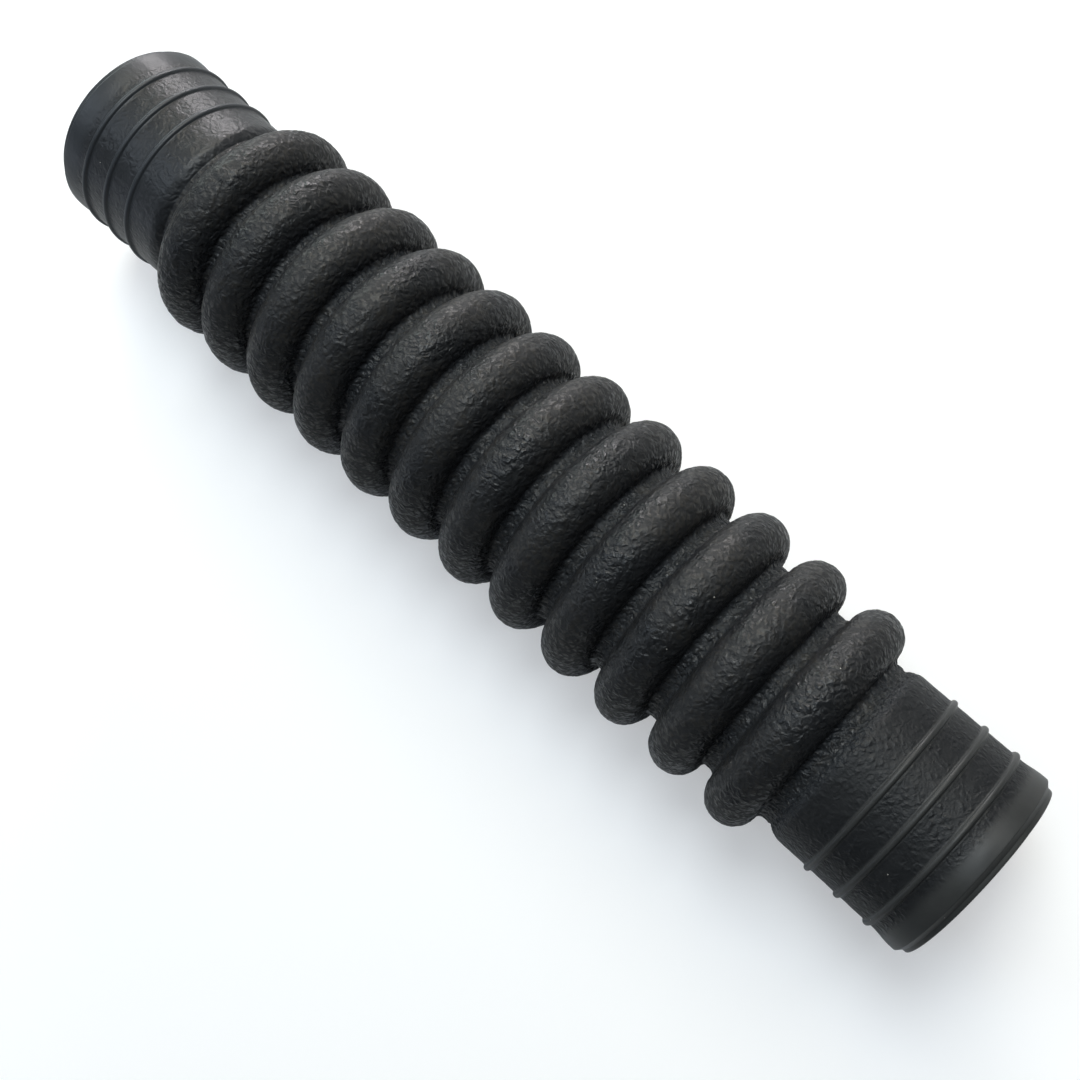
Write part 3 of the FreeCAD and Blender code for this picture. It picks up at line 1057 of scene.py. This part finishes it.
def floor_material(colours):
    """Pale paper with painted light: for camera rays it glows, which lifts the shadows near the hose and keeps it
    pale where the lamps no longer reach.
    """
    material, tree, shader = new_material("Floor")
    place = add(tree, "ShaderNodeNewGeometry", (-900, 0)).outputs["Position"]
    away = add(tree, "ShaderNodeVectorMath", (-700, 0), {0: place}, operation="LENGTH").outputs["Value"]
    rays = add(tree, "ShaderNodeLightPath", (-700, -300)).outputs["Is Camera Ray"]
    # Painted light: the floor glows for camera rays, more with distance, lifting its shadows near the hose.
    painted_glow = maths(tree, (-300, 0), "MULTIPLY", ramp(tree, (-500, 0), away, *FLOOR_PAINTED_GLOW), rays)
    feed(tree, shader, {"Base Color": (*colours.floor, 1.0), "Roughness": 0.9, "Specular IOR Level": 0.2,
                        "Emission Color": (1.0, 1.0, 1.0, 1.0), "Emission Strength": painted_glow})
    return material


class HOSE_OT_stage(bpy.types.Operator):
    """Builds the pale floor, the soft lights and the camera"""

    bl_idname = "hose.stage"
    bl_label = "Floor, lights and camera"

    def execute(self, context):
        scene = context.scene
        sizes = scene.hose_sizes
        floor = bpy.data.objects.new("Floor", backdrop_mesh())
        scene.collection.objects.link(floor)
        floor.data.materials.append(floor_material(scene.hose_colours))
        world = bpy.data.worlds.new("Studio")
        world.use_nodes = True
        sky = world.node_tree.nodes["Background"]
        sky.inputs["Color"].default_value = SKY_COLOUR
        sky.inputs["Strength"].default_value = SKY_STRENGTH
        scene.world = world
        middle = Vector((0.0, 0.0, sizes.axis_height))
        for name, turn, height, size, power, colour in SOFTBOXES:
            turn, height = math.radians(turn), math.radians(height)
            way = Vector((math.cos(turn) * math.cos(height), math.sin(turn) * math.cos(height), math.sin(height)))
            area_light(name, middle + way * SOFTBOX_DISTANCE, middle, size, power, colour)
        camera = bpy.data.objects.new("Camera", bpy.data.cameras.new("Camera"))
        scene.collection.objects.link(camera)
        toward = (Matrix.Rotation(CAMERA_ROLL, 3, "Z") @ Matrix.Rotation(CAMERA_PITCH, 3, "X")
                  @ Matrix.Rotation(CAMERA_YAW, 3, "Y") @ Matrix(((1, 0, 0), (0, -1, 0), (0, 0, -1))))
        axes = Matrix((toward[0], -toward[1], -toward[2])).transposed()
        place = (CAMERA_X, 0.0, sizes.axis_height + CAMERA_OVER_AXIS)
        camera.matrix_world = Matrix.Translation(place) @ axes.to_4x4()
        camera.data.sensor_width = SENSOR_WIDTH
        camera.data.lens = SENSOR_WIDTH * FOCAL_LENGTH / PICTURE_WIDTH
        camera.data.clip_start = 0.01
        scene.camera = camera
        scene.view_settings.view_transform = "Standard"
        return {"FINISHED"}


# Sidebar


class HOSE_PT_panel(bpy.types.Panel):
    """Sizes, colours and steps of the hose"""

    bl_label = "Vacuum hose"
    bl_idname = "HOSE_PT_panel"
    bl_space_type = "VIEW_3D"
    bl_region_type = "UI"
    bl_category = "Vacuum hose"

    def draw(self, context):
        for title, name in (("Sizes", "hose_sizes"), ("Grain", "hose_grain"), ("Colours", "hose_colours")):
            group = getattr(context.scene, name)
            box = self.layout.box()
            box.label(text=title)
            for key in group.__annotations__:
                box.prop(group, key)
        for operator in OPERATORS:
            self.layout.operator(operator.bl_idname)


GROUPS = {"hose_sizes": HoseSizes, "hose_grain": HoseGrain, "hose_colours": HoseColours}
OPERATORS = (HOSE_OT_stage, HOSE_OT_crests, HOSE_OT_webs, HOSE_OT_cuffs, HOSE_OT_hoops)


def register():
    for kind in (*GROUPS.values(), *OPERATORS, HOSE_PT_panel):
        bpy.utils.register_class(kind)
    for name, kind in GROUPS.items():
        setattr(bpy.types.Scene, name, PointerProperty(type=kind))


def unregister():
    for name in GROUPS:
        delattr(bpy.types.Scene, name)
    for kind in reversed((*GROUPS.values(), *OPERATORS, HOSE_PT_panel)):
        bpy.utils.unregister_class(kind)


def main():
    register()
    bpy.ops.hose.stage()
    bpy.ops.hose.crests()
    bpy.ops.hose.webs()
    bpy.ops.hose.cuffs()
    bpy.ops.hose.hoops()


if __name__ == "__main__":
    main()
